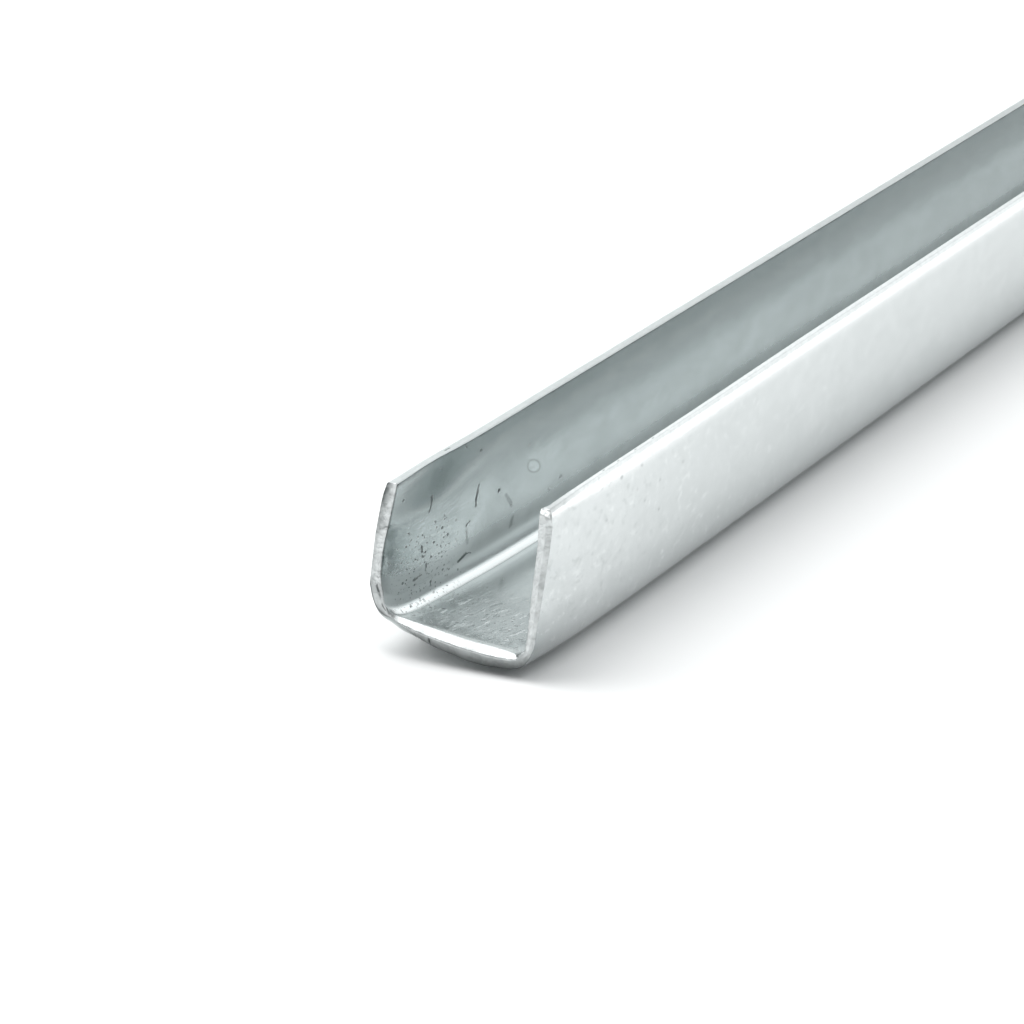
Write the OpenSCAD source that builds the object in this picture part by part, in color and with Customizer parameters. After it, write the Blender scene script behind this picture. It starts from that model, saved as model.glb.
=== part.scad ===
// Zinc U-channel, a length of formed edge stock lying on its web with the
// groove upwards. One strip of zinc bent into a web and two legs, so it is
// one solid.
// +Y runs along the stock, +X across it, +Z up out of the groove.
// The origin is the middle of the underside of the web.

/* [Section] */
// Width over the outside of the two bends, in mm
channel_w = 6.5; // [5.8:0.05:8]
// Height from the underside of the web to the rims, in mm
channel_h = 6.35; // [5.5:0.05:8]
// Thickness of the zinc strip, in mm
wall = 0.5; // [0.35:0.05:0.6]
// Outside radius of the bends between web and legs, in mm
bend_r = 1.35; // [1:0.05:1.6]
// How far each leg leans in over the groove, in degrees
toe_in = 2; // [0.5:0.25:2.5]
// Radius on the slit edges that form the two rims, in mm
rim_edge_r = 0.1; // [0.05:0.01:0.15]

/* [Length] */
// Length of the piece of stock, in mm
stock_l = 305; // [100:1:1830]

/* [Hidden] */
$fn = 96;
bend_in_r = bend_r - wall;
bend_x = channel_w / 2 - bend_r;
// a leg runs from the end of its bend to the rim, along its own slope
leg_l = (channel_h - bend_r - bend_r * sin(toe_in)) / cos(toe_in);
zinc = [0.74, 0.77, 0.78];

// one leg, upright, with its inner face at x = bend_in_r and its foot at y = 0
module leg_2d() {
    translate([bend_in_r, 0]) square([wall, leg_l - rim_edge_r]);
    translate([bend_in_r + rim_edge_r, 0]) square([wall - 2 * rim_edge_r, leg_l]);
    for (x = [bend_in_r + rim_edge_r, bend_r - rim_edge_r])
        translate([x, leg_l - rim_edge_r]) circle(rim_edge_r);
}

// the quarter bend below a leg, opened by the toe-in so that it meets the leg
module bend_2d() {
    far = 2 * bend_r;
    intersection() {
        difference() {
            circle(bend_r);
            circle(bend_in_r);
        }
        polygon([
            [0, 0], [0, -far], [far, -far],
            [far * cos(toe_in), far * sin(toe_in)]
        ]);
    }
}

// bend and leg on the +X side of the web
module side_2d() {
    translate([bend_x, bend_r]) {
        bend_2d();
        rotate(toe_in) leg_2d();
    }
}

module section_2d() {
    union() {
        translate([-bend_x, 0]) square([2 * bend_x, wall]);
        side_2d();
        mirror([1, 0]) side_2d();
    }
}

module u_channel() {
    color(zinc)
        translate([0, stock_l / 2, 0])
            rotate([90, 0, 0])
                linear_extrude(height = stock_l) section_2d();
}

u_channel();
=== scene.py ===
# Zinc U-channel: one length of formed zinc strip on a pale studio floor.
# Metres in the shared frame: +Y along the stock, +X across, +Z up out of the groove.
import math

import bmesh
import bpy
import numpy as np
from mathutils import Matrix, Vector


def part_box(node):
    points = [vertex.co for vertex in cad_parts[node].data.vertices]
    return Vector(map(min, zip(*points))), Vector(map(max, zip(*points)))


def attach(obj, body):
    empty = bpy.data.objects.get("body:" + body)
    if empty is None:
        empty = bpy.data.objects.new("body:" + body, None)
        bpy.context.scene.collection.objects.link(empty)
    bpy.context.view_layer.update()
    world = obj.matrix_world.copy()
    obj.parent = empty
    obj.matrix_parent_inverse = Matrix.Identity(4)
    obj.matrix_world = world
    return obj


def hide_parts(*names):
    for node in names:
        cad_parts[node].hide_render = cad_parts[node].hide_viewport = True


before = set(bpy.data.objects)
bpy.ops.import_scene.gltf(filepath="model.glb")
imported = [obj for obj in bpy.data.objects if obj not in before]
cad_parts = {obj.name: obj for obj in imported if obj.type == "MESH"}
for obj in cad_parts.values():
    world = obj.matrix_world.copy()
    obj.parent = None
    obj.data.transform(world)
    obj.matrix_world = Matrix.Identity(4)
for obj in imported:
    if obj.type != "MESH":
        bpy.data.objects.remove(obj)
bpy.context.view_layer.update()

MM = 0.001
node_lo, node_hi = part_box("u_channel")
Y_FRONT = node_lo.y / MM          # the cut end that faces the camera
LENGTH = (node_hi.y - node_lo.y) / MM

# ------------------------------------------------------------------ section
W, H, T, R = 6.5, 6.35, 0.5, 1.35     # width, height, strip, outer bend radius
TOE = math.radians(2.0)
RIM_R = 0.1
CX = W / 2 - R
RM = R - T / 2
LEG = (H - R - R * math.sin(TOE)) / math.cos(TOE)
ARC = RM * (math.pi / 2 + TOE)
HALF = CX + ARC + LEG                 # half the strip's width along its middle


def smooth(a, b, x):
    t = np.clip((x - a) / (b - a), 0.0, 1.0)
    return t * t * (3.0 - 2.0 * t)


def middle_line(s):
    """Point on the strip's middle line at s mm from the middle of the web, and its outward normal."""
    a = np.abs(s)
    sg = np.where(s < 0, -1.0, 1.0)
    th = np.clip((a - CX) / RM, 0.0, math.pi / 2 + TOE) - math.pi / 2
    nx, nz = np.cos(th), np.sin(th)
    web = a < CX
    x = np.where(web, a, CX + RM * nx)
    z = np.where(web, T / 2, R + RM * nz)
    nx = np.where(web, 0.0, nx)
    nz = np.where(web, -1.0, nz)
    up = np.clip(a - CX - ARC, 0.0, None)
    x = x - up * math.sin(TOE)
    z = z + up * math.cos(TOE)
    return sg * x, z, sg * nx, nz


def value_noise(p, seed):
    """Smooth repeatable noise in -1..1 at points p (..., 2)."""
    i = np.floor(p).astype(np.int64)
    f = p - i
    f = f * f * (3.0 - 2.0 * f)

    def h(ix, iy):
        n = (ix * 374761393 + iy * 668265263 + seed * 1442695041) & 0x7FFFFFFF
        n = ((n ^ (n >> 13)) * 1274126177) & 0x7FFFFFFF
        return ((n ^ (n >> 16)) & 0xFFFF) / 32767.5 - 1.0

    a = h(i[..., 0], i[..., 1])
    b = h(i[..., 0] + 1, i[..., 1])
    c = h(i[..., 0], i[..., 1] + 1)
    d = h(i[..., 0] + 1, i[..., 1] + 1)
    return (a * (1 - f[..., 0]) + b * f[..., 0]) * (1 - f[..., 1]) + (c * (1 - f[..., 0]) + d * f[..., 0]) * f[..., 1]


# The nipped front end: how far each face of the strip stands off its rolled place there, in mm
# outward, against mm across the strip from the middle of the web.
NIP_OUT = ((-8.62, 0.0), (-7.5, 0.03), (-5.9, 0.06), (-4.5, 0.126), (-4.1, 0.112), (-3.44, -0.087), (-2.74, 0.036),
           (-2.23, -0.325), (-1.6, 0.007), (-0.9, 0.204), (0.5, 0.322), (1.2, 0.294), (1.9, 0.159), (2.44, 0.09),
           (2.87, -0.10), (3.57, -0.24), (5.2, -0.15), (6.85, -0.03), (8.0, 0.03), (8.62, 0.0))
NIP_IN = ((-8.62, 0.0), (-7.6, 0.06), (-6.8, 0.12), (-5.9, 0.19), (-5.1, 0.21), (-4.26, 0.16), (-3.5, -0.02),
          (-2.92, -0.15), (-2.31, -0.02), (-1.53, 0.0), (0.1, 0.03), (0.8, 0.01), (1.36, -0.03), (2.0, -0.07),
          (2.44, -0.06), (2.9, -0.08), (3.65, -0.01), (4.8, 0.0), (7.1, 0.09), (8.62, 0.06))


def table(rows, s, blur=0.16):
    xs = [r[0] for r in rows]
    ys = [r[1] for r in rows]
    return sum(np.interp(s + d * blur, xs, ys) * k for d, k in ((-1.5, 0.12), (-0.75, 0.23), (0, 0.3), (0.75, 0.23), (1.5, 0.12)))


def crush(x, y, z, nx, nz, s, w):
    """The front end as the cutter left it: the web and bends pushed up, mostly on the left.
    y is mm from the front end, w is 0 on the inside of the strip and 1 on the outside."""
    X, Z = x, z
    left = np.clip((2.6 - X) / 5.2, 0.0, 1.0)
    rise_l = 0.50 * np.exp(-((y / 12.8) ** 2.0)) + 0.60 * np.exp(-y / 1.8)
    rise_r = 0.30 * np.exp(-y / 5.0) + 0.04 * np.exp(-y / 0.8)
    rise = rise_r + (rise_l - rise_r) * left
    z = Z + rise * np.clip((H - Z) / (H - 1.2), 0.0, 1.0)
    reach = 0.6 + 1.2 * smooth(2.0, 3.2, np.abs(s))
    off = (1.0 - w) * table(NIP_IN, s) * np.exp(-y / 1.8) + w * table(NIP_OUT, s) * np.exp(-y / reach)
    # left rim pinched thinner over the first centimetre
    rim = smooth(HALF - 2.2, HALF - 0.2, -s) * np.exp(-(((y - 4.5) / 3.6) ** 2))
    off = off + rim * (0.13 * (1.0 - w) + 0.05 * w)
    return x + nx * off, z + nz * off


# Height of the bright bevel along the inside of the web's cut end, in mm
BEVEL = ((-2.85, 0.0), (-2.65, 0.08), (-2.45, 0.14), (-2.2, 0.20), (-1.9, 0.225), (-1.68, 0.245), (-0.92, 0.295), (-0.15, 0.325),
         (0.6, 0.30), (1.38, 0.33), (1.9, 0.29), (2.1, 0.27), (2.4, 0.24), (2.6, 0.17), (2.75, 0.0))


def corner(depth, r):
    """How far a rounded corner of radius r stands back at this depth from the face."""
    q = np.clip((r - depth) / r, 0.0, 1.0)
    return r * (1.0 - np.sqrt(np.clip(1.0 - q * q, 0.0, 1.0)))


def front_cut(s, w):
    """How far back from the front plane the cut metal lies, in mm, at s across and w through the strip."""
    thick = T + table(NIP_OUT, s) - table(NIP_IN, s)
    n1 = value_noise(np.stack([s / 0.27, w * 0.8], -1), 21)
    n2 = value_noise(np.stack([s / 0.10, w * 2.2], -1), 22)
    n3 = value_noise(np.stack([s / 0.6, w * 0.0], -1), 23)
    # web: a bevel up to the inside, and the rest rolled under by the blade
    ridge = np.clip(table(BEVEL, s) / thick + 0.025 * n3, 0.03, 0.93)
    web = smooth(-3.5, -2.8, s) * (1.0 - smooth(2.3, 3.1, s))
    up = np.clip((ridge - w) / ridge, 0.0, 1.0)
    q = np.clip((w - ridge) / (1.0 - ridge), 0.0, 1.0)
    c_web = 0.8 * table(BEVEL, s) * up + 0.40 * q ** 1.35
    # a nick across the lower half of the web's end
    c_web = c_web + 0.07 * np.exp(-(((s + 0.86) / 0.03) ** 2)) * smooth(ridge + 0.05, ridge + 0.20, w) * (1.0 - smooth(0.8, 0.95, w))
    # left leg: a flat cut with broken edges, the inner one bevelled low down
    low = np.exp(-(((s + 4.9) / 0.75) ** 2))
    c_left = corner(w * thick, 0.035) + corner((1.0 - w) * thick, 0.06) + 0.11 * low * np.clip((0.27 - w) / 0.27, 0.0, 1.0)
    c_left = c_left + 0.07 * np.exp(-(((s + 6.55) / 0.05) ** 2)) * np.exp(-((w / 0.25) ** 2))
    # left bend: the metal split into two thin lips
    split = smooth(-4.15, -3.75, s) * (1.0 - smooth(-3.2, -2.95, s))
    c_bend = corner(w * thick, 0.05) + corner((1.0 - w) * thick, 0.09)
    groove = np.interp(s, (-3.7, -3.1), (0.40, 0.22))
    c_bend = c_bend + 0.05 * np.exp(-(((w - groove) / 0.045) ** 2)) + 0.03 * smooth(groove + 0.05, groove - 0.04, w)
    # right leg: a narrow land, rolled away to the outside
    c_right = 0.03 * np.clip((0.14 - w) / 0.14, 0.0, 1.0) + 0.15 * np.clip((w - 0.56) / 0.44, 0.0, 1.0) ** 1.25 * (1.0 - smooth(HALF - 0.60, HALF - 0.25, s))
    # its top corner is turned back
    c_right = c_right + 0.85 * np.clip(s - (HALF - 0.16 - 0.20 * w), 0.0, 0.22)
    left = 1.0 - smooth(-4.0, -3.6, s)
    right = smooth(2.6, 3.1, s)
    rest = np.clip(1.0 - web - left - right, 0.0, 1.0)
    cut = web * c_web + left * c_left * (1.0 - split) + right * c_right + (rest + left * split) * c_bend
    return cut + 0.010 * n1 + 0.005 * n2 + 0.016


def edge_wear_and_painted_light(s, y, w):
    """Darkness, dullness and brightness of the sheared rims and cut ends, 0 to 1, at each point of the strip: grime and
    painted shade, dull cut metal, fresh metal and a painted highlight.
    """
    thick = T + table(NIP_OUT, s) - table(NIP_IN, s)
    ridge = np.clip(table(BEVEL, s) / thick, 0.03, 0.93)
    web = smooth(-3.1, -2.7, s) * (1.0 - smooth(2.5, 3.0, s))
    left = 1.0 - smooth(-4.0, -3.6, s)
    right = smooth(2.6, 3.1, s)
    cap = (y < 1e-4).astype(float)
    n = value_noise(np.stack([s / 0.35, w * 1.5], -1), 31) * 0.5 + 0.5
    m = value_noise(np.stack([s / 0.13, w * 3.0], -1), 32) * 0.5 + 0.5
    q = np.clip((w - ridge) / (1.0 - ridge), 0.0, 1.0)
    # rolled under the bevel: grey, with painted shade darkening to the outside; paler in the left third, with a painted
    # dark edge there
    left_third = 1.0 - smooth(-1.7, -0.8, s)
    under = (0.46 + 0.36 * q ** 1.3) * (1.0 - 0.25 * left_third) + 0.40 * smooth(0.35, 0.9, q) * left_third
    dark = web * (smooth(ridge, ridge + 0.06, w) * (under + 0.12 * (n - 0.5)) + smooth(ridge + 0.01, ridge - 0.01, w) * (0.52 + 0.12 * (m - 0.5)))
    dark = dark + (1.0 - web) * (0.02 + (0.26 + 0.34 * left) * n * m)
    # the left leg's end: painted shade towards the outside, also low across the left bend's end; bright near the inside
    dark = dark + left * (0.30 * smooth(0.45, 1.0, w) + 0.38 * smooth(0.90, 0.98, w) + 0.12 * smooth(0.06, 0.015, w))
    dark = dark + left * 0.42 * smooth(-7.2, -7.9, s) * smooth(0.15, 0.70, w)
    dark = dark + 0.50 * smooth(0.80, 0.92, w) * smooth(-5.8, -5.2, s) * smooth(-2.7, -3.0, s)
    bend = np.clip(1.0 - web - left - right, 0.0, 1.0)
    groove = np.interp(s, (-3.7, -3.1), (0.40, 0.22))
    broken = np.interp(s, (-3.85, -3.75, -3.50, -3.44, -3.40, -3.30, -3.25, -3.04, -2.97, -2.70, -2.62), (0.0, 0.8, 0.8, 0.1, 0.6, 0.6, 0.1, 0.1, 0.9, 0.9, 0.0))
    dark = dark + 0.75 * np.exp(-(((w - groove) / 0.06) ** 2)) * broken
    dark = dark + (bend + 0.6 * left * smooth(-4.15, -3.8, s)) * (0.30 + 0.20 * smooth(0.80, 0.98, w))
    dark = dark + right * (0.20 * smooth(0.50, 0.62, w) * (0.6 + 0.8 * n)) * (1.0 - smooth(7.9, 8.2, s))
    # darker inside a notch of the left leg's end
    dark = dark + 0.45 * np.exp(-(((s + 6.55) / 0.05) ** 2)) * smooth(0.5, 0.1, w)
    # painted shade inside the nick across the web's end
    dark = dark + 0.5 * cap * web * np.exp(-(((s + 0.86) / 0.035) ** 2)) * smooth(ridge + 0.04, ridge + 0.15, w) * (1.0 - smooth(0.75, 0.95, w))
    dark = cap * dark
    # a dark line just inside the left leg's end, and darker along its rim's inner corner near the front
    line = np.exp(-(((y - 0.09) / 0.07) ** 2)) * smooth(-4.2, -5.2, s) * smooth(0.1, 0.0, w)
    dark = dark + line * (0.35 + 0.4 * n)
    rim_corner_dark = np.exp(-(((HALF + s - 0.06) / 0.09) ** 2)) * smooth(0.02, 0.0, w) * (np.exp(-y / 0.9) * 0.75 + 0.22 * np.exp(-(((y - 2.4) / 1.2) ** 2)))
    dark = dark + rim_corner_dark
    # painted shade on the underside just behind the left of the cut
    dark = dark + 0.55 * (1.0 - cap) * smooth(0.9, 1.0, w) * np.exp(-y / 0.8) * smooth(-3.3, -2.6, s) * (1.0 - smooth(-1.5, -0.8, s))
    # slit rims
    rim = smooth(HALF - 0.03, HALF, np.abs(s)) * (1.0 - cap)
    rim_l = rim * (s < 0) * (0.20 + 0.40 * smooth(0.88, 0.97, w) - 0.18 * smooth(0.30, 0.10, w) * np.exp(-(((y - 5.0) / 5.0) ** 2)))
    rim_r = rim * (s > 0) * (0.06 + 0.12 * smooth(0.30, 0.05, w) + 0.34 * np.exp(-((y / 3.2) ** 2)))
    dark = dark + rim_l + rim_r
    dull = np.clip(cap * (1.0 - web * smooth(ridge + 0.05, ridge - 0.05, w)) + 0.6 * rim, 0.0, 1.0)
    reach = 0.42 + 0.58 * smooth(0.0, 9.0, y)
    # fresh bright metal at the cut ends and on the right rim; on the right rim's outer corner, a painted highlight
    fresh_and_highlight = np.clip(cap * (0.75 + 0.25 * left * smooth(0.6, 0.2, w)) + rim * (s > 0) + (w > 0.5) * smooth(HALF - 0.75 * reach, HALF - 0.35 * reach, s), 0.0, 1.0)
    return np.stack([np.clip(dark, 0.0, 1.0), dull, fresh_and_highlight], -1)


def pressed_bend(s):
    """How far the inside of the strip stands out from its plain arc at a bend, in mm."""
    th = np.clip((np.abs(s) - CX) / RM, 0.0, math.pi / 2 + TOE)
    r_in = R - T
    web = r_in / np.maximum(np.cos(th), 0.05)
    leg = r_in / np.maximum(np.cos(math.pi / 2 + TOE - th), 0.05)
    flat = 0.997 / np.cos(th - math.radians(35.0))
    k = 0.014
    low = -k * np.log(np.exp(-web / k) + np.exp(-flat / k))
    k = np.where(s < 0, 0.075, 0.014)
    return -k * np.log(np.exp(-low / k) + np.exp(-leg / k)) - r_in


def build_channel():
    def span(a, b, n):
        return list(np.linspace(a, b, n, endpoint=False))

    half = span(0, CX, 24) + span(CX, CX + ARC, 26) + span(CX + ARC, HALF - 0.8, 37) + span(HALF - 0.8, HALF - 0.2, 8) + list(np.linspace(HALF - 0.2, HALF, 5))
    left = sorted(set([-v for v in half[1:]]) | {-0.92, -0.89, -0.86, -0.83, -0.80, -6.62, -6.58, -6.55, -6.52, -6.48})
    s = np.array(left + half)
    w = np.array([0.0, 0.015, 0.04, 0.08, 0.13, 0.19, 0.25, 0.31, 0.36, 0.40, 0.44, 0.49, 0.54, 0.59, 0.64, 0.70, 0.76, 0.82,
                  0.88, 0.93, 0.97, 1.0])
    ns, nw = len(s), len(w)
    y = np.array(
        span(0, 0.25, 7) + span(0.25, 3.0, 36) + span(3.0, 12.0, 62) + span(12.0, 30.0, 30)
        + span(30.0, LENGTH - 2.0, 34) + span(LENGTH - 2.0, LENGTH - 0.1, 5) + list(np.linspace(LENGTH - 0.1, LENGTH, 4))
    )
    ny = len(y)

    def place(si, wi, yk):
        """World metres for strip coordinates: si across, wi through, yk mm from the front end."""
        si, wi, yk = np.broadcast_arrays(si, wi, yk)
        # slit rims: a soft corner outside, a crisp one inside
        rim = smooth(HALF - 0.8, HALF, np.abs(si))
        se = np.sign(si) * (np.abs(si) - np.maximum(corner(wi * T, 0.06), corner((1.0 - wi) * T, 0.13)) * rim)
        x, z, nx, nz = middle_line(se)
        # the slitting blades drew the outer face in towards the rims
        reach = 0.9 * np.where(si > 0, 0.42 + 0.58 * smooth(0.0, 9.0, yk), 1.0)
        roll = np.clip((np.abs(si) - HALF + reach) / reach, 0.0, 1.0)
        off = (wi - 0.5) * T - wi * np.where(si > 0, 0.16 * roll ** 2.6 * (0.40 + 0.60 * smooth(0.0, 7.0, yk)), 0.05 * roll ** 2.2)
        # and thinned the right rim from the inside, most near the front
        off = off + 0.12 * roll ** 1.6 * (1.0 - wi) * smooth(0.0, 0.5, si) * (1.0 - 0.7 * smooth(15.0, 40.0, yk)) * smooth(-0.1, 1.0, yk)
        # low waves of the rolled strip, the same on both faces
        fade = 1.0 - 0.75 * smooth(35.0, 80.0, yk)
        wave = (0.007 * value_noise(np.stack([si / 1.6, yk / 3.4], -1), 3)
                + 0.002 * value_noise(np.stack([si / 0.8, yk / 1.5], -1), 5)) * fade
        # springback: the legs stand very slightly crowned
        leg = np.clip((np.abs(si) - CX - ARC) / LEG, 0.0, 1.0)
        bow = 0.045 * wi * 4.0 * leg * (1.0 - leg)
        # the left leg is a little thinner towards its rim
        bow = bow + 0.045 * (1.0 - wi) * leg * (si < 0)
        # inside, the tool pressed each bend to a narrow flat with tight corners
        bow = bow + (1.0 - wi) * pressed_bend(si)
        x = x + nx * (off + wave + bow)
        z = z + nz * (off + wave + bow)
        x, z = crush(x, yk, z, nx, nz, si, wi)
        # far end sawn square, edges just broken
        edge = np.minimum(wi, 1.0 - wi) * T
        far = corner(edge, 0.06)
        yy = yk + front_cut(si, wi) * np.exp(-yk / 0.45) - far * smooth(LENGTH - 0.3, LENGTH, yk)
        x = np.clip(x, node_lo.x / MM + 0.001, node_hi.x / MM - 0.001)
        z = np.clip(z, 0.0, node_hi.z / MM - 0.001)
        yy = np.clip(yy, 0.002, LENGTH - 0.002)
        return np.stack([x, yy + Y_FRONT, z], -1) * MM

    # boundary loop of the section: outside, right rim, inside, left rim
    loop = ([(i, nw - 1) for i in range(ns)] + [(ns - 1, j) for j in range(nw - 2, 0, -1)]
            + [(i, 0) for i in range(ns - 1, -1, -1)] + [(0, j) for j in range(1, nw - 1)])
    nl = len(loop)
    li = np.array([a for a, _ in loop])
    lj = np.array([b for _, b in loop])
    rings = place(s[li][None, :], w[lj][None, :], y[:, None])
    verts = rings.reshape(-1, 3)
    strip = np.stack([np.broadcast_to(s[li], (ny, nl)), np.broadcast_to(y[:, None], (ny, nl)), np.broadcast_to(w[lj], (ny, nl))], -1).reshape(-1, 3)
    k = np.arange(ny - 1)[:, None]
    m = np.arange(nl)[None, :]
    m2 = (m + 1) % nl
    quads = np.stack([k * nl + m, k * nl + m2, (k + 1) * nl + m2, (k + 1) * nl + m], -1).reshape(-1, 4)

    # the two cut faces, on the same grid as the section
    extra_v, extra_s, faces = [], [], []
    for end, yk in ((0, 0.0), (1, LENGTH)):
        base = 0 if end == 0 else (ny - 1) * nl
        ids = -np.ones((ns, nw), np.int64)
        ids[li, lj] = base + np.arange(nl)
        inner = np.argwhere(ids < 0)
        start = len(verts) + sum(len(v) for v in extra_v)
        ids[inner[:, 0], inner[:, 1]] = start + np.arange(len(inner))
        extra_v.append(place(s[inner[:, 0]], w[inner[:, 1]], np.full(len(inner), yk)))
        extra_s.append(np.stack([s[inner[:, 0]], np.full(len(inner), yk), w[inner[:, 1]]], -1))
        a, b, c, d = ids[:-1, :-1], ids[1:, :-1], ids[1:, 1:], ids[:-1, 1:]
        faces.append(np.stack([a, b, c, d] if end == 0 else [d, c, b, a], -1).reshape(-1, 4))
    verts = np.concatenate([verts] + extra_v)
    strip = np.concatenate([strip] + extra_s)
    quads = np.concatenate([quads] + faces)

    mesh = bpy.data.meshes.new("channel_strip")
    mesh.from_pydata(verts.tolist(), [], quads.tolist())
    mesh.update()
    bm = bmesh.new()
    bm.from_mesh(mesh)
    bmesh.ops.recalc_face_normals(bm, faces=bm.faces)
    bm.to_mesh(mesh)
    bm.free()
    # the web's cut end keeps a crisp inner edge
    ends = np.empty(2 * len(mesh.edges), np.int32)
    mesh.edges.foreach_get("vertices", ends)
    brim = np.zeros(len(verts), bool)
    brim[:nl] = (lj == 0) & (np.abs(s[li]) < 2.75)
    att = mesh.attributes.new("sharp_edge", "BOOLEAN", "EDGE")
    att.data.foreach_set("value", brim[ends.reshape(-1, 2)].all(1))
    # strip coordinates in mm, for the material: across, along from the front end, through
    att = mesh.attributes.new("strip", "FLOAT_VECTOR", "POINT")
    att.data.foreach_set("vector", strip.astype(np.float32).ravel())
    # how dark, dull and bright the sheared edges are, with painted shade and a painted highlight among them
    att = mesh.attributes.new("edge_shade_and_wear", "FLOAT_VECTOR", "POINT")
    att.data.foreach_set("vector", edge_wear_and_painted_light(strip[:, 0], strip[:, 1], strip[:, 2]).astype(np.float32).ravel())
    mesh.polygons.foreach_set("use_smooth", np.ones(len(mesh.polygons), bool))
    mesh.update()
    obj = bpy.data.objects.new("channel_strip", mesh)
    bpy.context.scene.collection.objects.link(obj)
    print("channel_strip: %d vertices, %d triangles" % (len(verts), 2 * len(quads)))
    return obj


channel = build_channel()

# ---------------------------------------------------------------- materials


class Nodes:
    """Small helper that lays out shader nodes."""

    def __init__(self, mat):
        mat.use_nodes = True
        self.t = mat.node_tree
        self.t.nodes.clear()

    def new(self, kind, **inputs):
        n = self.t.nodes.new(kind)
        for k, v in inputs.items():
            setattr(n, k, v)
        return n

    def put(self, socket, value):
        if isinstance(value, bpy.types.NodeSocket):
            self.t.links.new(value, socket)
        else:
            socket.default_value = value

    def math(self, op, a, b=0.0, c=None, clamp=False):
        n = self.new("ShaderNodeMath", operation=op, use_clamp=clamp)
        self.put(n.inputs[0], a)
        self.put(n.inputs[1], b)
        if c is not None:
            self.put(n.inputs[2], c)
        return n.outputs[0]

    def vmath(self, op, a, b=None, scale=None):
        n = self.new("ShaderNodeVectorMath", operation=op)
        self.put(n.inputs[0], a)
        if b is not None:
            self.put(n.inputs[1], b)
        if scale is not None:
            self.put(n.inputs["Scale"], scale)
        return n.outputs["Value"] if op in ("DOT_PRODUCT", "LENGTH", "DISTANCE") else n.outputs["Vector"]

    def step(self, v, a, b, lo=0.0, hi=1.0):
        n = self.new("ShaderNodeMapRange", interpolation_type="SMOOTHSTEP")
        self.put(n.inputs["Value"], v)
        self.put(n.inputs["From Min"], a)
        self.put(n.inputs["From Max"], b)
        self.put(n.inputs["To Min"], lo)
        self.put(n.inputs["To Max"], hi)
        return n.outputs["Result"]

    def noise(self, vec, scale, detail=2.0, rough=0.5, distortion=0.0, dims="2D"):
        n = self.new("ShaderNodeTexNoise", noise_dimensions=dims)
        self.put(n.inputs["Vector"], vec)
        n.inputs["Scale"].default_value = scale
        n.inputs["Detail"].default_value = detail
        n.inputs["Roughness"].default_value = rough
        n.inputs["Distortion"].default_value = distortion
        return n.outputs["Fac"]

    def voronoi(self, vec, scale, feature="F1", rand=1.0):
        n = self.new("ShaderNodeTexVoronoi", voronoi_dimensions="2D", feature=feature)
        self.put(n.inputs["Vector"], vec)
        n.inputs["Scale"].default_value = scale
        n.inputs["Randomness"].default_value = rand
        return n.outputs["Distance"], n.outputs["Color"]

    def mix(self, f, a, b):
        n = self.new("ShaderNodeMix", data_type="RGBA")
        self.put(n.inputs["Factor"], f)
        self.put(n.inputs[6], a)
        self.put(n.inputs[7], b)
        return n.outputs[2]

    def mixf(self, f, a, b):
        n = self.new("ShaderNodeMix", data_type="FLOAT")
        self.put(n.inputs["Factor"], f)
        self.put(n.inputs[2], a)
        self.put(n.inputs[3], b)
        return n.outputs[0]

    def xyz(self, v):
        n = self.new("ShaderNodeSeparateXYZ")
        self.put(n.inputs[0], v)
        return n.outputs[0], n.outputs[1], n.outputs[2]

    def vec(self, x, y, z):
        n = self.new("ShaderNodeCombineXYZ")
        self.put(n.inputs[0], x)
        self.put(n.inputs[1], y)
        self.put(n.inputs[2], z)
        return n.outputs[0]


LEG0 = CX + ARC                       # where a leg starts, mm across the strip

# scratches on the inside of the left leg: (mm from the front end, mm up the leg) at each end, half width, depth 0-1
LEG_MARKS = (
    ((4.88, 2.85), (5.06, 3.20), 0.040, 0.85),
    ((5.06, 3.20), (5.02, 3.44), 0.050, 0.95),
    ((11.36, 1.92), (11.20, 2.20), 0.040, 0.80),
    ((11.20, 2.20), (11.32, 2.78), 0.052, 1.00),
    ((15.55, 1.64), (16.60, 1.05), 0.070, 0.32),
    ((16.85, 0.20), (16.98, 0.50), 0.090, 0.32),
    ((10.25, 1.34), (10.80, 1.43), 0.035, 0.60),
    ((10.42, 1.15), (10.90, 0.50), 0.055, 0.28),
    ((9.95, -0.08), (10.80, 0.10), 0.070, 0.95),
    ((10.80, 0.10), (11.55, 0.03), 0.028, 0.85),
    ((4.72, 1.20), (4.52, 1.46), 0.050, 0.95),
    ((5.46, 0.34), (5.52, 0.60), 0.048, 0.95),
    ((5.02, 0.22), (4.17, 0.14), 0.036, 0.80),
    ((6.42, -0.32), (6.50, -0.54), 0.040, 0.90),
)
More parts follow.
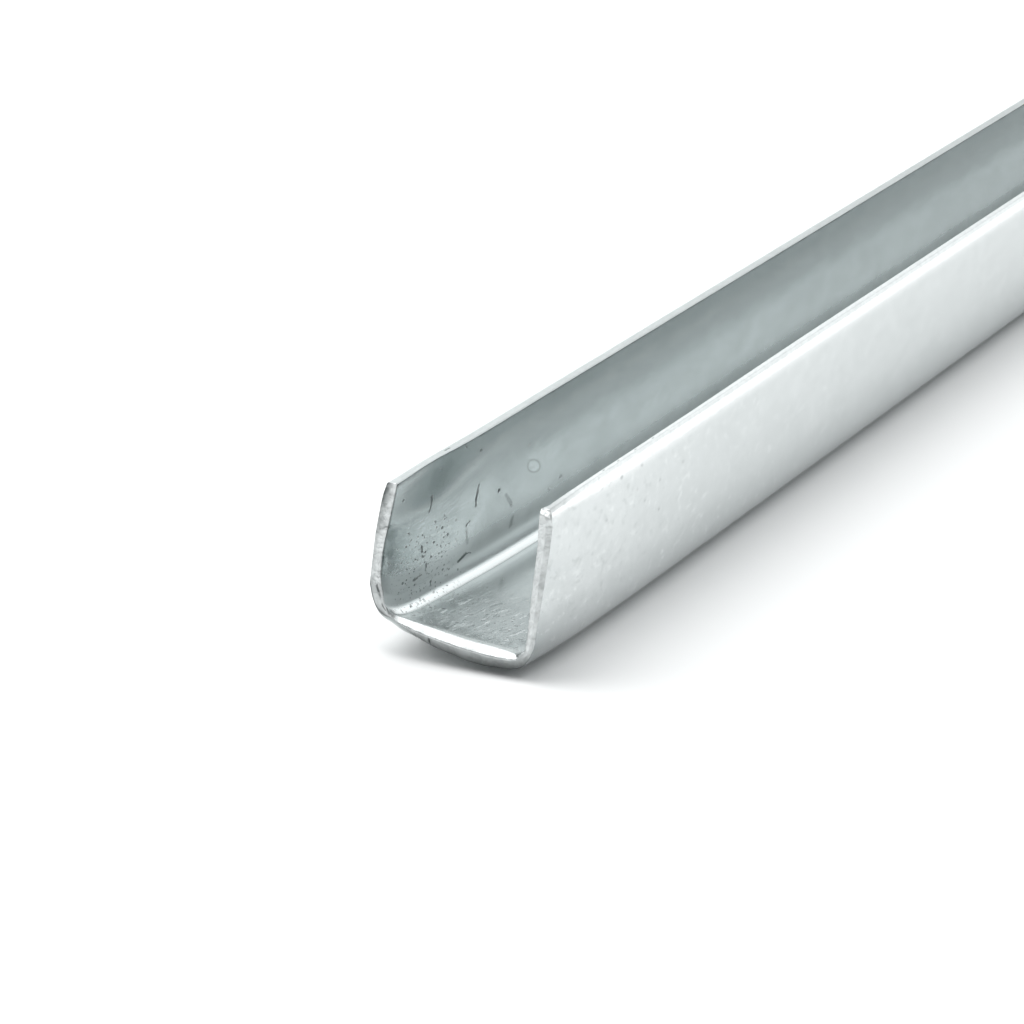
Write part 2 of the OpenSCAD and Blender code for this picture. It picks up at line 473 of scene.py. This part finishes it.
# spots: (mm from the front end, mm up the left leg), radius, depth
LEG_SPOTS = (
    ((14.42, 2.02), 0.090, 0.90), ((1.32, 3.95), 0.065, 0.70), ((23.5, 1.00), 0.11, 0.35), ((4.82, 2.82), 0.045, 0.80),
    ((10.32, 1.31), 0.065, 0.90), ((4.10, 0.16), 0.070, 0.90), ((4.82, 1.00), 0.055, 0.85), ((4.10, 1.64), 0.045, 0.75),
    ((5.95, 0.82), 0.045, 0.70), ((1.45, 1.80), 0.060, 0.60), ((2.55, 2.34), 0.050, 0.80), ((0.75, 1.22), 0.060, 0.50),
    ((7.12, 1.05), 0.040, 0.70), ((10.92, 4.22), 0.070, 0.75), ((8.80, 4.80), 0.060, 0.80), ((17.9, 3.20), 0.10, 0.40),
    ((6.42, 0.14), 0.045, 0.65), ((7.85, 1.30), 0.045, 0.50),
    ((4.97, 0.96), 0.055, 0.90), ((6.02, 0.78), 0.045, 0.80), ((7.20, 0.99), 0.040, 0.75), ((0.89, 1.15), 0.055, 0.60),
    ((8.82, -0.23), 0.045, 0.75), ((10.05, -0.48), 0.050, 0.80),
)
# spots on the web and in the left bend: (mm from the front end, mm across from the middle)
WEB_SPOTS = (
    ((2.61, -2.26), 0.065, 0.80), ((3.43, -2.72), 0.055, 0.85), ((4.75, -2.76), 0.036, 0.80), ((5.15, -2.78), 0.034, 0.80),
    ((4.18, -2.67), 0.030, 0.50), ((6.29, -2.61), 0.030, 0.65), ((7.55, -2.65), 0.030, 0.60), ((8.38, -2.82), 0.034, 0.70),
    ((5.12, -1.81), 0.065, 0.95), ((6.75, -1.89), 0.042, 0.85), ((6.94, -1.74), 0.034, 0.70), ((8.05, -2.19), 0.044, 0.80),
    ((6.81, -2.21), 0.034, 0.70), ((7.01, -1.23), 0.044, 0.75), ((5.65, -1.32), 0.045, 0.60), ((6.39, -1.25), 0.045, 0.65),
    ((10.34, -1.64), 0.055, 0.65), ((12.24, -1.59), 0.060, 0.50), ((6.20, 0.02), 0.045, 0.60), ((7.27, -0.18), 0.035, 0.50),
    ((4.79, 0.24), 0.045, 0.60), ((5.35, 1.02), 0.070, 0.50), ((1.72, -0.40), 0.045, 0.70), ((4.01, 0.18), 0.036, 0.60),
    ((2.04, 1.64), 0.080, 0.50),
)
# small marks outside the right leg: (mm from the front end, mm across from the middle), radius, depth
WALL_SPOTS = (
    ((9.66, 8.14), 0.085, 0.42), ((12.48, 8.08), 0.060, 0.40), ((11.95, 7.24), 0.060, 0.32), ((13.16, 6.57), 0.055, 0.30),
    ((15.44, 5.83), 0.055, 0.40), ((15.29, 7.01), 0.070, 0.26), ((18.58, 7.11), 0.080, 0.24),
)
# soft dull patches on the web: centre, radius, strength
WEB_SHADES = (((2.47, -0.25), 0.20, 0.35), ((1.95, 0.36), 0.18, 0.32), ((3.00, 1.95), 0.26, 0.45), ((1.2, -1.2), 0.22, 0.22))
# painted glints on the web, bright and rough: ends, half width, strength
WEB_PAINTED_GLINTS = (
    ((4.60, 0.01), (4.66, 0.03), 0.050, 1.00), ((4.98, -0.26), (5.10, -0.22), 0.030, 0.75), ((4.44, -1.67), (5.04, -1.65), 0.032, 0.70),
    ((6.39, -1.54), (7.82, -1.52), 0.028, 0.60), ((2.40, 1.33), (2.65, 1.34), 0.042, 0.75), ((3.48, 1.25), (3.60, 1.27), 0.036, 0.65),
    ((3.81, 1.32), (4.92, 1.35), 0.036, 0.55), ((6.45, 0.72), (7.13, 0.76), 0.030, 0.45),
)


def zinc_material():
    mat = bpy.data.materials.new("zinc")
    n = Nodes(mat)
    s, y, w = n.xyz(n.new("ShaderNodeAttribute", attribute_name="strip").outputs["Vector"])
    dark, dull, fresh_and_highlight = n.xyz(n.new("ShaderNodeAttribute", attribute_name="edge_shade_and_wear").outputs["Vector"])
    A, M, S = "ADD", "MULTIPLY", "SUBTRACT"

    def cen(v, k):                                   # noise centred on zero, times k
        return n.math(M, n.math(S, v, 0.5), k)

    inside = n.step(w, 0.03, 0.0)
    s2 = n.math("MULTIPLY_ADD", inside, 37.0, s)     # keeps the two faces' patterns apart
    near = n.step(y, 16.0, 5.0)                      # the handled front end
    leg = n.math(S, n.math(M, s, -1.0), LEG0)        # mm up the left leg

    def flat(fs, fy, shift=0.0, lean=0.0):
        """Texture coordinates in the sheet: fs and fy features per mm across and along."""
        a = s2 if lean == 0.0 else n.math("MULTIPLY_ADD", y, lean, s2)
        return n.vec(n.math("MULTIPLY_ADD", a, fs, shift), n.math(M, y, fy), 0.0)

    # ---- broad blotches of the mill finish, longer than they are wide
    blot = n.noise(flat(0.75, 0.26), 1.0, 2.0, 0.55, 0.5)
    blot2 = n.noise(flat(2.4, 0.8, 3.0), 1.0, 2.0, 0.6, 0.4)
    tone = n.math(M, n.math(A, cen(blot, 1.3), cen(blot2, 0.8)), n.math("MULTIPLY_ADD", inside, 0.45, 0.55))
    grain = n.noise(flat(11.0, 4.0, 7.0), 1.0, 1.0, 0.65)

    # ---- rubbed streaks along the stock, thick on the web near the front
    patch_w = n.math(M, n.step(n.math("ABSOLUTE", n.math(A, s, 0.1)), 2.4, 1.9), n.step(y, 14.0, 6.0))
    patch_l = n.math(M, n.step(n.math("ABSOLUTE", n.math(S, leg, 1.2)), 2.6, 0.8), n.step(n.math("ABSOLUTE", n.math(S, y, 5.0)), 5.5, 2.0))
    patch = n.math(M, n.math(M, n.math("MAXIMUM", patch_w, n.math(M, patch_l, 0.45)), n.step(blot2, 0.38, 0.60, 0.12, 1.0)), inside)
    rub = n.noise(flat(5.5, 0.55, 11.0, -0.04), 1.0, 3.0, 0.72, 0.3)
    rub_d = n.math(M, n.step(rub, 0.47, 0.33), patch)
    rub_l = n.math(M, n.math(M, n.step(rub, 0.54, 0.68), patch), n.step(y, 0.5, 2.0))
    # fine flecks outside the right leg, fading along it
    fleck = n.noise(flat(2.6, 1.1, 21.0), 1.0, 2.0, 0.70)
    skin = n.math(M, n.math(M, n.step(w, 0.90, 1.0), n.step(blot2, 0.42, 0.60, 0.25, 1.0)), n.math(M, n.step(y, 60.0, 8.0, 0.15, 1.0), n.step(s, 2.4, 4.0)))
    skin = n.math(M, skin, n.step(y, 0.01, 0.06))
    fleck_d = n.math(M, n.step(fleck, 0.46, 0.32), skin)
    wall_tone = n.math(M, n.math(M, n.step(w, 0.90, 1.0), n.step(s, 2.4, 4.0)), n.step(y, 6.0, 26.0, 0.0, 0.20))
    fleck_l = n.math(M, n.step(fleck, 0.56, 0.70), skin)

    # ---- pits
    def pits(scale, keep, rad, where, seed):
        d, c = n.voronoi(flat(scale, scale * 0.45, seed), 1.0)
        cx, cy, cz = n.xyz(c)
        on = n.step(cx, 1.0 - keep - 0.02, 1.0 - keep + 0.02)
        r = n.math("MULTIPLY_ADD", cy, rad * 1.1 * scale, rad * 0.4 * scale)
        return n.math(M, n.math(M, n.step(n.math("DIVIDE", d, r), 1.15, 0.5), on), where)

    zone_l = n.math(M, n.step(n.math("ABSOLUTE", n.math(S, leg, 0.8)), 2.4, 0.7), n.step(n.math("ABSOLUTE", n.math(S, y, 5.2)), 5.0, 1.8))
    zone_w = n.math(M, n.step(n.math("ABSOLUTE", s), 3.2, 2.2), n.step(y, 12.0, 4.0))
    zone = n.math(M, n.math(M, n.math("MAXIMUM", zone_l, n.math(M, zone_w, 0.50)), n.step(blot2, 0.36, 0.56, 0.35, 1.0)), inside)
    thin = n.math(M, n.math("MULTIPLY_ADD", near, 0.75, 0.25), n.step(blot, 0.42, 0.60))
    pit = n.math("MAXIMUM", pits(2.5, 0.50, 0.052, zone, 3.1), pits(5.0, 0.62, 0.034, zone, 7.7))
    speck = pits(1.4, 0.30, 0.050, n.math(M, thin, n.math("MULTIPLY_ADD", inside, 0.42, 0.12)), 12.3)

    # ---- marks on the inside of the left leg and on the web
    wn = n.new("ShaderNodeTexNoise", noise_dimensions="2D")
    n.put(wn.inputs["Vector"], flat(6.0, 3.6, 21.0))
    wn.inputs["Scale"].default_value = 1.0
    wn.inputs["Detail"].default_value = 2.0
    wn.inputs["Roughness"].default_value = 0.7
    wx, wy, wz = n.xyz(wn.outputs["Color"])
    YS = 0.42                                        # marks run wider along the stock
    py = n.math(A, n.math(M, y, YS), cen(wx, 0.16))
    P = n.vec(py, n.math(A, leg, cen(wy, 0.13)), 0.0)
    Q = n.vec(py, n.math(A, s, cen(wy, 0.13)), 0.0)

    def strokes(at, rows):
        out = None
        for (a, b, half, depth) in rows:
            A0 = Vector((a[0] * YS, a[1], 0.0))
            D = Vector((b[0] * YS, b[1], 0.0)) - A0
            rel = n.vmath("SUBTRACT", at, tuple(A0))
            tt = n.math(M, n.vmath("DOT_PRODUCT", rel, tuple(D)), 1.0 / D.length_squared, clamp=True)
            gap = n.vmath("DISTANCE", rel, n.vmath("SCALE", tuple(D), scale=tt))
            m = n.step(gap, half * 1.6, half * 0.4, 0.0, depth)
            out = m if out is None else n.math("MAXIMUM", out, m)
        return out

    marks = strokes(P, LEG_MARKS)
    for at, spots in ((P, LEG_SPOTS), (Q, WEB_SPOTS)):
        for (c, r, depth) in spots:
            gap = n.vmath("DISTANCE", at, (c[0] * YS, c[1], 0.0))
            marks = n.math("MAXIMUM", marks, n.step(gap, r * 1.3, r * 0.35, 0.0, depth))
    marks = n.math(M, n.math(M, marks, n.step(wz, 0.32, 0.50, 0.55, 1.0)), inside)
    # painted highlights: small bright glints on the web
    painted_glints = n.math(M, strokes(Q, WEB_PAINTED_GLINTS), inside)
    # soft shades: beside the left bend, and patches near the front of the web
    shade = n.math(M, n.math(M, n.step(n.math("ABSOLUTE", n.math(A, s, 2.05)), 0.50, 0.12), n.step(n.math("ABSOLUTE", n.math(S, y, 6.0)), 3.2, 1.4)), 0.30)
    for (c, r, depth) in WEB_SHADES:
        gap = n.vmath("DISTANCE", Q, (c[0] * YS, c[1], 0.0))
        shade = n.math("MAXIMUM", shade, n.step(gap, r * 1.7, r * 0.2, 0.0, depth))
    # painted shade on the upper half of the left leg's inside, and along its foot
    ragged = n.math(A, n.math(A, leg, cen(blot, 1.2)), cen(blot2, 0.5))
    high = n.math(M, n.step(ragged, 2.35, 3.65), n.step(y, 1.0, 24.0, 0.20, 0.42))
    foot = n.math(M, n.math(M, n.step(leg, 3.2, 0.6), n.step(s, -3.35, -3.95)), n.step(y, 8.0, 15.0, 0.0, 0.42))
    # painted shade over a bright fringe at the left leg's front inner edge
    fringe_shade = n.math(M, n.math(M, n.step(y, 1.5, 0.4), n.step(n.math("ABSOLUTE", n.math(A, s, 5.75)), 1.1, 0.5)), 0.60)
    shade = n.math(M, n.math("MAXIMUM", n.math("MAXIMUM", shade, fringe_shade), n.math("MAXIMUM", high, foot)), inside)
    # painted light: the same leg is paler right at the cut end
    reach = n.math("MAXIMUM", n.step(y, 7.0, 2.0), n.math(M, n.step(y, 13.0, 7.0, 0.0, 0.72), n.step(leg, 1.7, 0.5)))
    pale = n.math(M, n.math(M, n.math(M, reach, n.step(y, 0.2, 1.7, 0.10, 1.0)), n.math(M, n.step(leg, -1.2, -0.6), n.step(leg, 3.4, 1.2))), inside)
    # painted light too on the web at its cut edge and further in, and on the metal either side of the pressed flat
    far_web = n.math(M, n.math(M, n.step(y, 7.5, 12.0), n.step(n.math("ABSOLUTE", s), 2.7, 2.3)), 0.72)
    front_web = n.math(M, n.math(M, n.step(y, 2.0, 0.5), n.step(n.math("ABSOLUTE", s), 2.6, 2.0)), 0.55)
    halo = n.math("MAXIMUM", n.math(M, n.step(n.math("ABSOLUTE", n.math(A, s, 2.20)), 0.30, 0.08), 0.30), n.math(M, n.step(n.math("ABSOLUTE", n.math(A, s, 3.10)), 0.60, 0.20), 0.95))
    painted_light = n.math(M, n.math("MAXIMUM", n.math("MAXIMUM", far_web, front_web), n.math("MAXIMUM", halo, n.math(M, pale, 0.72))), inside)
    # a dried drop's ring
    ry = n.math(S, y, 19.1)
    ring = n.vmath("LENGTH", n.vec(n.math(M, ry, 1.0 / 0.95), n.math(M, n.math(A, n.math(S, leg, 2.17), n.math(M, ry, 0.22)), 1.0 / 0.24), 0.0))
    rim_of_ring = n.math(M, n.step(n.math("ABSOLUTE", n.math(S, ring, 1.0)), 0.30, 0.05), inside)
    in_ring = n.math(M, n.step(ring, 1.0, 0.8), inside)
    # specks on the slit rims
    specks = None
    for yy, sg in ((6.8, -1), (7.15, -1), (8.0, 1), (10.0, 1), (12.4, 1), (14.9, 1)):
        gap = n.vmath("DISTANCE", n.vec(n.math(M, y, 0.6), n.math(M, s, float(sg)), w), (yy * 0.6, HALF, 0.45))
        m = n.step(gap, 0.13, 0.05)
        specks = m if specks is None else n.math("MAXIMUM", specks, m)

    # marks outside the right leg
    dents = None
    for (c, r, depth) in WALL_SPOTS:
        gap = n.vmath("DISTANCE", Q, (c[0] * YS, c[1], 0.0))
        m = n.step(gap, r * 1.5, r * 0.35, 0.0, depth)
        dents = m if dents is None else n.math("MAXIMUM", dents, m)
    dents = n.math(M, dents, n.step(w, 0.90, 1.0))

    # ---- colour
    base = n.mix(n.math(A, tone, 0.5, clamp=True), (0.560, 0.596, 0.596, 1), (0.690, 0.725, 0.725, 1))
    # fresh metal lighter at the cut ends and right rim, and a painted highlight on the right rim's outer corner
    col = n.mix(n.math(M, fresh_and_highlight, 0.75), base, (0.83, 0.85, 0.85, 1))
    # painted shade on the outside of the right bend, darker than the face above it
    under = n.math(M, n.math(M, n.step(s, 5.2, 2.9), n.step(s, 0.5, 1.5)), n.math(M, n.step(w, 0.95, 1.0), n.step(y, 9.0, 2.0, 0.58, 0.88)))
    col = n.mix(under, col, (0.30, 0.33, 0.335, 1))
    col = n.mix(n.math("MAXIMUM", n.math(M, fleck_d, 0.36), wall_tone), col, (0.33, 0.37, 0.37, 1))
    col = n.mix(n.math(M, fleck_l, 0.34), col, (0.88, 0.91, 0.91, 1))
    col = n.mix(painted_light, col, (0.92, 0.955, 0.955, 1))
    col = n.mix(shade, col, (0.12, 0.155, 0.155, 1))
    col = n.mix(n.math(M, n.math(M, patch_w, inside), n.step(y, 0.6, 2.4, 0.0, 0.22)), col, (0.24, 0.29, 0.29, 1))
    col = n.mix(n.math(M, rub_d, 0.60), col, (0.22, 0.275, 0.275, 1))
    # light rubbed streaks, and the painted glints
    col = n.mix(n.math("MAXIMUM", n.math(M, rub_l, 0.85), painted_glints), col, (0.93, 0.97, 0.97, 1))
    col = n.mix(n.math(M, n.math("MAXIMUM", pit, speck), 0.90), col, (0.04, 0.065, 0.065, 1))
    col = n.mix(n.math(M, marks, 0.92), col, (0.04, 0.06, 0.06, 1))
    col = n.mix(n.math(M, rim_of_ring, 0.50), col, (0.24, 0.28, 0.28, 1))
    col = n.mix(n.math(M, in_ring, 0.25), col, (0.80, 0.84, 0.84, 1))
    col = n.mix(n.math("MAXIMUM", n.math(M, specks, 0.85), dents), col, (0.06, 0.08, 0.08, 1))
    mott = n.step(n.noise(n.vmath(M, n.vec(s, y, w), (4.5, 2.0, 2.4)), 1.0, 2.0, 0.65, 0.5, dims="3D"), 0.40, 0.62)
    col = n.mix(n.math(M, n.math(M, dull, mott), 0.22), col, (0.30, 0.32, 0.32, 1))
    # the edges' darkness: grime on the cut ends, and painted shade on their undersides and outer edges
    col = n.mix(n.math(M, dark, 0.92), col, (0.045, 0.055, 0.055, 1))

    # pits, scratches and specks hold grime, which is not metal
    grime = n.math("MAXIMUM", n.math("MAXIMUM", pit, speck), n.math("MAXIMUM", marks, specks))
    # ---- roughness
    rough = n.math(A, n.math("MULTIPLY_ADD", inside, -0.10, 0.23), n.math(M, tone, -0.03))
    rough = n.math(A, rough, cen(grain, 0.04))
    rough = n.math(A, rough, n.math(M, n.math("MAXIMUM", grime, n.math(M, rub_d, 0.6)), 0.40))
    rough = n.math(A, rough, n.math(M, painted_glints, 0.30))
    rough = n.math(A, rough, n.math(M, dull, 0.16))
    # the reflections blur above the pressed flat, and on the web just inside its cut end
    blur = n.math("MAXIMUM", n.math(M, n.step(s, -2.68, -2.95), n.step(s, -5.0, -3.75)), n.math(M, n.step(y, 1.8, 0.6), n.step(n.math("ABSOLUTE", s), 2.6, 2.2)))
    rough = n.math(A, rough, n.math(M, n.math(M, blur, inside), 0.26))

    # ---- relief, in mm
    height = n.math(M, pit, -0.016)
    height = n.math(A, height, n.math(M, n.math(S, rub_l, rub_d), 0.0035))
    height = n.math(A, height, cen(grain, 0.0006))
    height = n.math(A, height, n.math(M, n.math(M, mott, dull), -0.010))
    bump = n.new("ShaderNodeBump")
    bump.inputs["Strength"].default_value = 1.0
    bump.inputs["Distance"].default_value = 0.001
    n.put(bump.inputs["Height"], height)

    bsdf = n.new("ShaderNodeBsdfPrincipled")
    n.put(bsdf.inputs["Base Color"], col)
    n.put(bsdf.inputs["Metallic"], n.math("MULTIPLY_ADD", grime, -0.92, 1.0))
    bsdf.inputs["Specular IOR Level"].default_value = 0.25
    n.put(bsdf.inputs["Roughness"], rough)
    n.put(bsdf.inputs["Normal"], bump.outputs["Normal"])
    out = n.new("ShaderNodeOutputMaterial")
    n.put(out.inputs["Surface"], bsdf.outputs[0])
    return mat


channel.data.materials.append(zinc_material())
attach(channel, "root")
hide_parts("u_channel")

# -------------------------------------------------------------------- stage


def floor_material():
    mat = bpy.data.materials.new("floor")
    n = Nodes(mat)
    bsdf = n.new("ShaderNodeBsdfPrincipled")
    bsdf.inputs["Base Color"].default_value = (0.90, 0.90, 0.90, 1)
    bsdf.inputs["Roughness"].default_value = 0.9
    bsdf.inputs["Specular IOR Level"].default_value = 0.1
    out = n.new("ShaderNodeOutputMaterial")
    n.put(out.inputs["Surface"], bsdf.outputs[0])
    return mat


fm = bpy.data.meshes.new("floor")
F = 6.0
fm.from_pydata([(-F, -F, -2e-5), (F, -F, -2e-5), (F, F, -2e-5), (-F, F, -2e-5)], [], [(0, 1, 2, 3)])
floor = bpy.data.objects.new("floor", fm)
bpy.context.scene.collection.objects.link(floor)
fm.materials.append(floor_material())


def area_light(name, loc, target, size, size_y, watts, color=(1, 1, 1)):
    data = bpy.data.lights.new(name, "AREA")
    data.shape = "RECTANGLE"
    data.size = size
    data.size_y = size_y
    data.energy = watts
    data.color = color
    o = bpy.data.objects.new(name, data)
    o.location = Vector(loc)
    o.rotation_euler = (Vector(target) - Vector(loc)).to_track_quat("-Z", "Y").to_euler()
    bpy.context.scene.collection.objects.link(o)
    return o


F0 = Vector((0.0, Y_FRONT * MM, 0.003))


def toward(az, el, dist):
    """A point seen from the front end at this azimuth (0 along +Y, + to +X) and elevation, in degrees."""
    a, e = math.radians(az), math.radians(el)
    return F0 + dist * Vector((math.sin(a) * math.cos(e), math.cos(a) * math.cos(e), math.sin(e)))


area_light("main_box", toward(-115, 60, 1.2), F0, 1.3, 1.3, 13.5)
area_light("fill_box", toward(152, 53, 1.2), F0, 0.55, 0.55, 2.4)

world = bpy.data.worlds.new("studio")
bpy.context.scene.world = world
world.use_nodes = True
wt = Nodes(world)
ray = wt.new("ShaderNodeTexCoord").outputs["Generated"]
rx, ry, rz = wt.xyz(ray)
# a pale wall behind the work, brighter to the left and low down on the right; dimmer overhead and behind the camera
back = wt.math("MULTIPLY", wt.step(rz, 0.98, 0.80), wt.step(ry, 0.1, 0.75))
side = wt.math("MULTIPLY", wt.step(rx, 0.10, 0.25), wt.step(rz, 0.10, 0.16))
strip = wt.math("MULTIPLY", wt.step(rx, 0.10, 0.24), wt.step(rz, 0.16, 0.09))
wall = wt.math("MULTIPLY_ADD", side, -0.28, 0.80)
wall = wt.math("MULTIPLY_ADD", wt.math("MULTIPLY", wt.math("MULTIPLY", wt.step(rx, 0.06, 0.0), wt.step(rx, -0.228, -0.178)), wt.step(rz, 0.34, 0.27)), -0.58, wall)
wall = wt.math("MULTIPLY_ADD", wt.step(rx, -0.225, -0.250), 0.20, wall)
wall = wt.math("MULTIPLY_ADD", wt.math("MULTIPLY", wt.math("MULTIPLY", wt.step(rx, 0.0, 0.06), wt.step(rx, 0.20, 0.14)), wt.step(rz, 0.22, 0.27)), -0.03, wall)
wall = wt.math("MULTIPLY_ADD", strip, 0.50, wall)
low = wt.math("MULTIPLY_ADD", back, wall, 0.50)
bg = wt.new("ShaderNodeBackground")
wt.put(bg.inputs["Color"], (0.965, 0.995, 1.0, 1))
wt.put(bg.inputs["Strength"], low)
wo = wt.new("ShaderNodeOutputWorld")
wt.put(wo.inputs["Surface"], bg.outputs[0])

scene = bpy.context.scene
scene.view_settings.view_transform = "Standard"
scene.view_settings.look = "None"
scene.view_settings.exposure = 0.0

# ------------------------------------------------------------------- camera
cam_data = bpy.data.cameras.new("camera")
cam_data.sensor_width = 36.0
cam_data.lens = 281.25
cam_data.clip_start = 0.01
cam_data.clip_end = 50.0
cam = bpy.data.objects.new("camera", cam_data)
right = Vector((0.95449, 0.27531, 0.11468))
up = Vector((-0.16808, 0.17892, 0.96940))
fwd = Vector((-0.24637, 0.94456, -0.21705))
rot = Matrix((right, up, -fwd)).transposed()
cam.matrix_world = Matrix.Translation(Vector((0.0713646, -0.2672808 + Y_FRONT * MM, 0.0674784))) @ rot.to_4x4()
scene.collection.objects.link(cam)
scene.camera = cam

bpy.context.view_layer.update()
